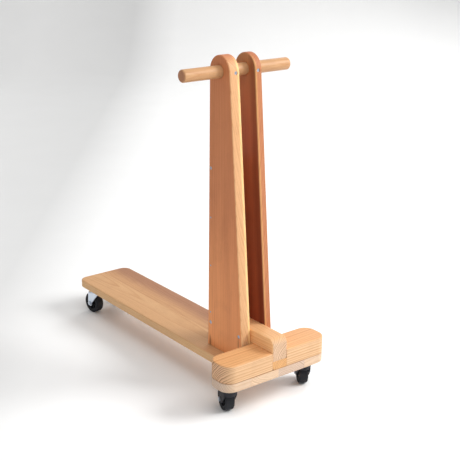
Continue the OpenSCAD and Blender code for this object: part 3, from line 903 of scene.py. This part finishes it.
def steel_fork():
    """Pressed steel: bent legs that taper to the axle."""
    side = fillet([(-10, CROWN_TOP + 2), (-10, 48), (-7.5, 46), (9.2, 26), (9.0, 17.6),
                   (23.4, 17.6), (23.4, 30), (22, CROWN_TOP + 2)],
                  [0, 2, 3, 9, 7.1, 7.1, 6, 0], 14)
    fork = boolean(channel(STEEL_LEG, 3.6), "INTERSECT", [
        prism("side", side, -20, 20, lambda p, along: 0, axes=(Y, Z, X))])
    soften(fork, 0.35)
    boolean(fork, "UNION", [race_cup()])
    cuts = [rod(PIN_HOLE, (0, 0, 0), Z, CROWN_LOW - 1, CROWN_TOP + 1, 40),
            rod(AXLE_R + 0.05, (0, TRAIL, AXLE_Z), X, -20, 20)]
    return boolean(fork, "DIFFERENCE", cuts)


def nylon_fork():
    """Moulded nylon: a conical hood over the wheel's front runs into two thick legs."""
    side = fillet([(-9.7, CROWN_TOP + 2), (-9, 40), (4, 21.5), (10, 17.6), (23.4, 17.6),
                   (23.4, 30), (22, CROWN_TOP + 2)], [0, 3, 6, 5, 7.1, 6, 0], 14)
    fork = boolean(channel(NYLON_LEG, 4.5), "INTERSECT", [
        prism("side", side, -20, 20, lambda p, along: 0, axes=(Y, Z, X))])
    soften(fork, 0.7, 3)
    low, wall, rim = CROWN_LOW - 12, 2, 14
    profile = [(rim - wall, low + 0.6), (rim - wall + 0.6, low), (rim - 0.7, low),
               (rim, low + 0.7), (RACE_R, CROWN_LOW + 0.4), (RACE_R, CROWN_LOW + 1.6),
               (RACE_R - wall, CROWN_LOW + 1.6), (RACE_R - wall, CROWN_LOW)]
    hood = turned("hood", profile, (0, 0, 0), Z, 64, closed=True)
    gap = prism("gap", [(-LEG_IN, 0), (LEG_IN, 0), (LEG_IN, 30), (-LEG_IN, 30)],
                low - 3, CROWN_LOW, lambda p, along: 0)
    boolean(hood, "DIFFERENCE", [gap])
    boolean(fork, "UNION", [race_cup(), hood])
    cuts = [rod(PIN_HOLE, (0, 0, 0), Z, CROWN_LOW - 1, CROWN_TOP + 1, 40),
            rod(AXLE_R + 0.05, (0, TRAIL, AXLE_Z), X, -20, 20)]
    return boolean(fork, "DIFFERENCE", cuts)


def hexagon(radius, low, high, place):
    """A hexagon nut's blank along X, with its corners turned off at both ends."""
    points = [(radius * math.cos(math.radians(60 * k)), radius * math.sin(math.radians(60 * k)))
              for k in range(6)]
    blank = prism("hexagon", points, low, high, lambda p, along: 0, axes=(Y, Z, X))
    blank.data.transform(Matrix.Translation(place))
    flat = radius * math.cos(math.radians(30))
    drop = (radius - flat) * 0.9
    cone = turned("cone", [(0, low), (flat + 0.05, low), (flat + 1.3, low + drop),
                           (flat + 1.3, high - drop), (flat + 0.05, high), (0, high)],
                  place, X, 36)
    return boolean(blank, "INTERSECT", [cone])


def axle_bolt(out):
    place = (0, TRAIL, AXLE_Z)
    thread = [(AXLE_R, -out), (AXLE_R, out + 1.5)]
    turns = 6
    for k in range(turns):
        at = out + 1.5 + k * 0.4
        thread += [(AXLE_R - 0.22, at + 0.15), (AXLE_R, at + 0.3)]
    thread += [(AXLE_R - 0.5, out + 4), (0, out + 4)]
    shaft = turned("shaft", [(0, -out)] + thread, place, X, 28)
    return join("axle_bolt", [hexagon(5.2, -out - 3, -out, place), shaft])


def axle_nut(out):
    place = (0, TRAIL, AXLE_Z)
    body = hexagon(5.2, out, out + 3, place)
    collar = turned("collar", [(0, out + 2.6), (4.2, out + 2.6), (4.2, out + 3.7),
                               (3.7, out + 4.2), (0, out + 4.2)], place, X, 32)
    boolean(body, "UNION", [collar])
    return boolean(body, "DIFFERENCE", [rod(AXLE_R + 0.01, place, X, out - 1, out + 6)])


def hub():
    """Moulded hub: rim, thin web, eight ribs on each side and a bored boss."""
    place = (0, TRAIL, AXLE_Z)
    rim, half, boss, reach = WHEEL_R - 6, TYRE_HALF - 1, 6.5, 11.2
    side = [(3.06, reach), (boss - 0.6, reach), (boss, reach - 0.6), (boss + 0.4, 3.6),
            (boss + 1.2, 2.6), (rim - 4.6, 2.6), (rim - 3.6, 3.6), (rim - 3.0, half - 0.5),
            (rim - 2.5, half), (rim, half)]
    profile = side + [(r, -x) for r, x in reversed(side)]
    body = turned("hub", profile, place, X, 64, closed=True)
    ribs = []
    for k in range(8):
        angle = 2 * math.pi * (k + 0.5) / 8
        rib = prism("rib", [(boss - 0.5, -0.8), (rim - 2.9, -0.8), (rim - 2.9, 0.8),
                            (boss - 0.5, 0.8)], 1.4 - half, half - 1.4,
                    lambda p, along: 0 if along else 0.5, axes=(Y, Z, X), segments=2)
        rib.data.transform(Matrix.Translation(place) @ Matrix.Rotation(angle, 4, "X"))
        ribs.append(rib)
    return boolean(body, "UNION", ribs)


def tyre():
    """Solid tyre with round shoulders and a moulding line round the middle."""
    place = (0, TRAIL, AXLE_Z)
    inner, shoulder, half = WHEEL_R - 6, 3, TYRE_HALF
    profile = [(inner, -half + 0.4), (inner + 0.4, -half), (inner + 1.4, -half),
               (inner + 1.7, -half + 0.3), (inner + 2.0, -half)]
    profile += arc((WHEEL_R - shoulder, -half + shoulder), shoulder, -90, -8, 8)[1:]
    crown = [(WHEEL_R - 0.12, -3.5), (WHEEL_R, -0.25), (WHEEL_R, 0.25), (WHEEL_R - 0.12, 3.5)]
    profile = [(r, x) for r, x in profile] + crown
    profile += [(r, -x) for r, x in reversed(profile[:-4])]
    return turned("tyre", profile, place, X, 96, closed=True)


def castor_frames():
    """{castor: placement in metres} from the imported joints."""
    out = {}
    joints = {j["name"]: j for j in record["behaviour"]["joints"]}
    for name in ("front_left", "front_right", "rear_left", "rear_right"):
        pivot = joints[name + "_swivel"]["pos_m"]
        axle = joints[name + "_roll"]["axis"]
        turn = math.atan2(axle[1], axle[0])
        spot = Matrix.Translation((pivot[0], pivot[1], 0))
        out[name] = (spot @ Matrix.Scale(MM, 4), spot @ Matrix.Rotation(turn, 4, "Z")
                     @ Matrix.Scale(MM, 4))
    return out


# ---- Assembly: wood -------------------------------------------------------------

STAND = "stand"
screw_nodes = ("foot_screws", "spacer_nails", "spacer_screws", "handle_lock_screws")
foot_mark = middle(corners("foot_screws"))
foot_low, foot_high = corners("foot_screws")


def left_upright_dark_patch(y, z, reach, share):
    """A darker patch on the outer face of the left upright."""
    return ((left_face, y, z), reach, share)


def set_wood(obj, node, grain, tone, pith, slot, stains_and_shade_spots=(), **looks):
    shade(obj)
    centre = middle(corners(node))
    centre_on(obj, centre)
    marks = [(tuple(Vector(p) - centre), reach, share) for p, reach, share in stains_and_shade_spots]
    look = wood(node + "_wood", grain, tone, pith, stains_and_shade_spots=marks, **looks)
    return finish_piece(obj, STAND, [node], look, slot)


# Darker patches low on the left upright, near where it stands on the plank
foot_dark_patches = [
    left_upright_dark_patch(foot_high.y - 3 * MM, deck + 5 * MM, (8 * MM, 5 * MM, 22 * MM), 0.75),
    left_upright_dark_patch(foot_low.y + 4 * MM, deck + 30 * MM, (8 * MM, 2.6 * MM, 26 * MM), 0.6),
    left_upright_dark_patch(foot_low.y + 12 * MM, deck + 4 * MM, (8 * MM, 9 * MM, 14 * MM), 0.35),
]

tail_stains = [((corners("plank_left_stave")[0].x + 5 * MM, tail - 3 * MM, deck - 6 * MM),
                (10 * MM, 9 * MM, 5 * MM), 0.55)]
# Left stave: its top a little darker, painted shade of the uprights, and its long edges lighter,
# painted light
set_wood(cut_pockets(plank_stave(-1, "plank_left_stave"), "beam_screws", "spine_screws"),
         "plank_left_stave", "Y", GOLDEN, (18, -64), "pale_wood", ring=3.4, seed=1.0,
         stains_and_shade_spots=tail_stains,
         tilt=(1.2, 0.6), contrast=0.6,
         patches=[("Y", None, 0, 0, (1.3, 1.5, 1.8)), ("Z", None, 0, 0, (0.94, 0.90, 0.87)),
                  ("X", None, 0, 0, (1.15, 1.18, 1.14))])
# Right stave: its top darker, painted shade of the uprights, and lighter towards the seam, where its
# darker tone, partly painted shadow, fades into the left stave's
set_wood(cut_pockets(plank_stave(1, "plank_right_stave"), "beam_screws", "spine_screws"),
         "plank_right_stave", "Y", TAN, (-26, 46), "tan_wood", ring=2.8, seed=2.0,
         tilt=(-0.8, 1.0), contrast=0.7,
         patches=[("Z", "X", 8, -20, (1.40, 1.55, 1.36)), ("Y", None, 0, 0, (1.6, 2.1, 2.5)),
                  ("Z", None, 0, 0, (0.88, 0.80, 0.76))])
set_wood(cut_pockets(foot_board(-1, "left_foot_board"), "beam_screws"),
         "left_foot_board", "X", ASH, (40, 30), "tan_wood", ring=3.6, seed=3.0, contrast=0.7)
set_wood(cut_pockets(foot_board(1, "right_foot_board"), "beam_screws"),
         "right_foot_board", "X", ASH, (-36, 42), "pale_wood", ring=3.2, seed=4.0,
         contrast=0.7)
# Painted shade on the beam halves: the tops darker and more orange, as in the shade of the uprights,
# and a dark line along the bottom edge, a painted shadow at the seam over the foot boards
beam_patches = [("Z", None, 0, 0, (1.0, 0.84, 0.66)),
                (None, "Z", -16.8, -18.2, (0.50, 0.38, 0.32))]
set_wood(beam_half(-1, "cross_beam_left"), "cross_beam_left", "X", PALE,
         (58, -68), "pale_wood", ring=4.3, seed=5.0, wander=0.5, contrast=1.6,
         patches=beam_patches, end_tint=(1.0, 0.95, 1.0))
set_wood(beam_half(1, "cross_beam_right"), "cross_beam_right", "X", PALE,
         (58, -68), "pale_wood", ring=4.3, seed=6.0, wander=0.5, contrast=1.6,
         patches=beam_patches, end_tint=(1.0, 0.95, 1.0))
# Painted shade in the gaps: a dark spot at the chipped lower corner of the riser and of the block, and
# on the riser a dark line along its bottom edge, a painted shadow at the seam
gap_shade_reach = (5.5 * MM, 12 * MM, 5.5 * MM)
strip_corner, block_corner = corners("spine_riser")[0], corners("spine_block")[0]
block_corner.x = corners("spine_block")[1].x
set_wood(riser(), "spine_riser", "Y", ORANGE, (30, 20), "tan_wood", ring=3.0, seed=7.0,
         stains_and_shade_spots=[(strip_corner, gap_shade_reach, 1.0)],
         patches=[(None, "Z", -7.6, -8.8, (0.55, 0.42, 0.36))],
         end_tint=(1.06, 1.05, 0.98))
# Block: its top darker and more orange, painted shade, and its sides lighter, painted light on faces
# that lie in shade
set_wood(spine_block(), "spine_block", "Y", PALE, (48, 42), "pale_wood",
         ring=3.4, seed=8.0, wander=0.6, contrast=1.1, end_tint=(1.0, 1.06, 1.24),
         stains_and_shade_spots=[(block_corner, gap_shade_reach, 0.9)],
         patches=[("Z", None, 0, 0, (1.0, 0.9, 0.76)), ("X", None, 0, 0, (1.38, 1.3, 1.1))])
# Left upright: front and rear edges paler and yellower, painted light, with a painted highlight along
# the rounding next to the inner side; sides and edges lighter and yellower towards the bottom
set_wood(cut_pockets(upright(-1, "left_upright"), *screw_nodes),
         "left_upright", "Z", RED, (34, 52), "red_wood", ring=2.6, seed=9.0,
         contrast=0.85, wander=0.2, pores=0.36, stains_and_shade_spots=foot_dark_patches,
         patches=[("Y", None, 0, 0, (1.1, 1.65, 1.95)), ("Y", "X", 5.2, 6.6, (1.3, 1.5, 1.35)),
                  ("X", "Z", 20, -300, (1.45, 1.6, 1.5)), ("Y", "Z", -80, -300, (1.08, 1.2, 1.3))])
# Right upright: front and rear edges paler, painted light, with a painted highlight along the rounding
# next to the inner side; the sides darker lower down and towards the front edge, painted shade in the
# slot between the uprights, and more orange near the top, painted light from behind
set_wood(cut_pockets(upright(1, "right_upright"), *screw_nodes),
         "right_upright", "Z", DEEP, (-30, 60), "red_wood", ring=2.8, seed=10.0,
         contrast=0.85, wander=0.2, pores=0.36,
         patches=[("Y", None, 0, 0, (0.95, 1.10, 1.2)), ("Y", "X", -2.5, -4.5, (1.2, 1.5, 1.3)),
                  ("X", "Z", 240, -250, (0.62, 0.52, 0.62)), ("X", "Z", 140, 300, (0.95, 1.3, 1.25)),
                  ("X", (0, 1, -0.082), -10, -21, (0.64, 0.56, 0.56))])
set_wood(spacer(), "rear_spacer", "Z", GOLDEN, (20, 48), "tan_wood", ring=3.0, seed=11.0)
set_wood(handle(), "handle", "X", BEECH, (14, 30), "handle_wood", ring=2.6,
         seed=12.0, contrast=0.55, pores=0.5, gloss=0.4, end_tint=(0.88, 0.74, 0.82))

# ---- Assembly: fixings ----------------------------------------------------------

screw_steel = metal("screw_steel", (0.48, 0.53, 0.62), 0.34)
nail_steel = metal("nail_steel", (0.42, 0.46, 0.54), 0.42)
for node in FIXINGS:
    look = nail_steel if node == "spacer_nails" else screw_steel
    finish_piece(shade(fixing_piece(node)), STAND, [node], look, "screw_steel")

# ---- Assembly: castors ----------------------------------------------------------

zinc = metal("zinc_plate", (0.80, 0.88, 0.98), 0.34, speck=0.12)
castor_steel = metal("castor_steel", (0.55, 0.60, 0.68), 0.32)
black_nylon = moulded("black_nylon", (0.008, 0.008, 0.014), 0.46)
hub_plastic = moulded("hub_plastic", (0.010, 0.010, 0.013), 0.48)
tyre_rubber = moulded("tyre_rubber", (0.011, 0.012, 0.016), 0.6, relief=0.5)

FORK_OUT = {"front": LEG_IN + NYLON_LEG, "rear": LEG_IN + STEEL_LEG}
shapes = {
    "plate": plate(), "plate_screws": plate_screws(), "balls": balls(), "kingpin": kingpin(),
    "hub": hub(), "tyre": tyre(),
    "front_fork": nylon_fork(), "rear_fork": steel_fork(),
}
for end, out in FORK_OUT.items():
    shapes[end + "_axle_bolt"] = axle_bolt(out)
    shapes[end + "_axle_nut"] = axle_nut(out)
for shape in shapes.values():
    shade(shape)

# part: (body it rides on, material, slot, whether it turns with the fork)
CASTOR_PARTS = {
    "plate": (STAND, zinc, "zinc", False),
    "plate_screws": (STAND, screw_steel, "screw_steel", False),
    "balls": (STAND, castor_steel, "screw_steel", False),
    "kingpin": (STAND, castor_steel, "screw_steel", False),
    "fork": ("fork", None, None, True),
    "axle_bolt": ("fork", castor_steel, "screw_steel", True),
    "axle_nut": ("fork", castor_steel, "screw_steel", True),
    "hub": ("wheel", hub_plastic, "black_nylon", True),
    "tyre": ("wheel", tyre_rubber, "tyre_rubber", True),
}
for name, (square, turned_frame) in castor_frames().items():
    end = name.split("_")[0]
    for part, (body, look, slot, turns) in CASTOR_PARTS.items():
        shape = shapes.get(part) or shapes[f"{end}_{part}"]
        if part == "fork":
            look, slot = (black_nylon, "black_nylon") if end == "front" else (zinc, "zinc")
        mesh = shape.data.copy()
        mesh.transform(turned_frame if turns else square)
        node = f"{name}_{part}"
        piece = centre_on(new_object(node + "_detail", mesh), middle(corners(node)))
        rider = body if body == STAND else f"{name}_{body}_body"
        finish_piece(piece, rider, [node], look, slot)
for shape in shapes.values():
    bpy.data.objects.remove(shape)

# ---- Floor and backdrop ---------------------------------------------------------

def backdrop():
    """A pale floor that sweeps up into a wall behind the object."""
    half, near_edge, bend, top = 9.0, -6.0, 1.6, 6.0
    wall = 5.0
    line = [(near_edge, 0), (wall - bend, 0)]
    line += arc((wall - bend, bend), bend, -90, 0, 16)[1:] + [(wall, top)]
    yaw = Matrix.Rotation(-CAMERA_YAW, 4, "Z")
    bm = bmesh.new()
    rows = [[bm.verts.new(yaw @ Vector((x, y, z))) for x in (-half, half)] for y, z in line]
    for a, b in zip(rows, rows[1:]):
        bm.faces.new((a[0], a[1], b[1], b[0])).smooth = True
    mesh = bpy.data.meshes.new("paper_sweep")
    bm.to_mesh(mesh)
    bm.free()
    t = Tree("paper")
    place = t.node("ShaderNodeTexCoord").outputs["Object"]
    cloud = t.noise(place, 5.0, detail=5.0, roughness=0.6).outputs["Fac"]
    tone = t.mix(t.remap(cloud, 0.35, 0.7, 0.0, 1.0), (0.945, 0.945, 0.94, 1),
                 (0.96, 0.96, 0.955, 1))
    # Painted shade: the paper darkens towards the camera's left, where the light falls off
    across = t.vector("DOT_PRODUCT", place, (math.cos(CAMERA_YAW), -math.sin(CAMERA_YAW), 0))
    painted_falloff = t.ramp(t.remap(across, 0.1, -1.5, 0.0, 1.0),
                  [(0.0, 1.0), (0.2, 1.0), (0.26, 0.93), (0.37, 0.76), (0.72, 0.93), (1.0, 0.95)])
    tone = t.mix(1.0, tone, painted_falloff, "MULTIPLY")
    return new_object("paper_sweep", mesh, t.surface({"Base Color": tone, "Roughness": 0.85}))


CAMERA_PLACE = Vector((-1.2404, -1.7618, 1.0116))
CAMERA_YAW = math.radians(38.06)
CAMERA_PITCH = math.radians(18.61)
CAMERA_ROLL = math.radians(0.5)
backdrop()

# ---- Camera ---------------------------------------------------------------------

camera_data = bpy.data.cameras.new("camera")
camera_data.lens = 80.2
camera_data.sensor_width = 36
camera_data.clip_end = 60
camera = bpy.data.objects.new("camera", camera_data)
camera.matrix_world = (Matrix.Translation(CAMERA_PLACE)
                       @ Matrix.Rotation(-CAMERA_YAW, 4, "Z")
                       @ Matrix.Rotation(math.pi / 2 - CAMERA_PITCH, 4, "X")
                       @ Matrix.Rotation(CAMERA_ROLL, 4, "Z"))
bpy.context.scene.collection.objects.link(camera)
bpy.context.scene.camera = camera

# ---- Light ----------------------------------------------------------------------

AIM = Vector((0, -0.1, 0.3))


def softbox(name, place, size, power, colour=(1, 1, 1)):
    data = bpy.data.lights.new(name, "AREA")
    data.shape = "RECTANGLE"
    data.size, data.size_y = size
    data.energy = power
    data.color = colour
    lamp = bpy.data.objects.new(name, data)
    lamp.location = place
    lamp.rotation_euler = (AIM - Vector(place)).to_track_quat("-Z", "Y").to_euler()
    bpy.context.scene.collection.objects.link(lamp)
    return lamp


softbox("key", (1.98, -1.86, 2.1), (1.5, 1.5), 88)
softbox("top", (-0.2, -1.3, 3.2), (2.0, 2.0), 30)
softbox("wash", (3.4, 2.0, 2.0), (1.2, 1.2), 40)

world = bpy.data.worlds.new("room")
world.use_nodes = True
sky = world.node_tree.nodes["Background"]
sky.inputs["Color"].default_value = (1.0, 1.0, 1.0, 1)
sky.inputs["Strength"].default_value = 0.52
bpy.context.scene.world = world
bpy.context.scene.view_settings.view_transform = "Standard"
